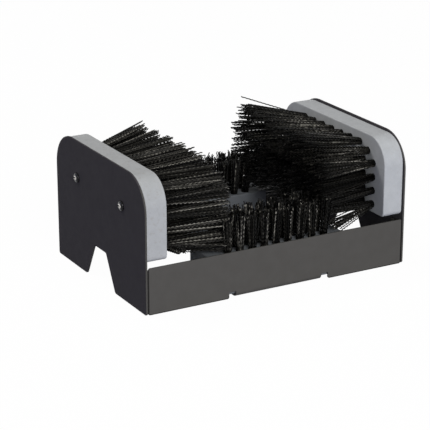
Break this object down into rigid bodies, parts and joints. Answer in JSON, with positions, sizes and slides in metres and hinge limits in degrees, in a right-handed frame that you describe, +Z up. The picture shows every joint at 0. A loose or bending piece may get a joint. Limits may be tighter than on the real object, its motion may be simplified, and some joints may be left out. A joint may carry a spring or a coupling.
{
  "type": "boot scraper",
  "caption": "Free-standing boot scraper: two folded sheet steel rails between arched end plates, with a wooden brush block inside each end and a wooden brush strip along each rail.",
  "frame": {"origin": "centre of the box's bottom face, on the ground in the middle of the object", "axes": "+X from the left end plate to the right one, +Y from the front rail to the rear rail, +Z up"},
  "size_m": [0.2342, 0.155, 0.105],
  "materials": {
    "black_powder_coat": "satin black powder coat",
    "grey_painted_wood": "matt grey paint",
    "black_bristle": "crimped plastic filament",
    "zinc_steel": "bright zinc plate"
  },
  "bodies": {
    "root": {"left_end_plate": "black_powder_coat", "right_end_plate": "black_powder_coat", "front_rail": "black_powder_coat", "rear_rail": "black_powder_coat", "left_brush_block": "grey_painted_wood", "right_brush_block": "grey_painted_wood", "front_base_block": "grey_painted_wood", "rear_base_block": "grey_painted_wood", "left_bristles": "black_bristle", "right_bristles": "black_bristle", "front_base_bristles": "black_bristle", "rear_base_bristles": "black_bristle", "left_screw_front": "zinc_steel", "left_screw_rear": "zinc_steel", "right_screw_front": "zinc_steel", "right_screw_rear": "zinc_steel", "base_screw_front_left": "zinc_steel", "base_screw_front_right": "zinc_steel", "base_screw_rear_left": "zinc_steel", "base_screw_rear_right": "zinc_steel"}
  },
  "joints": []
}
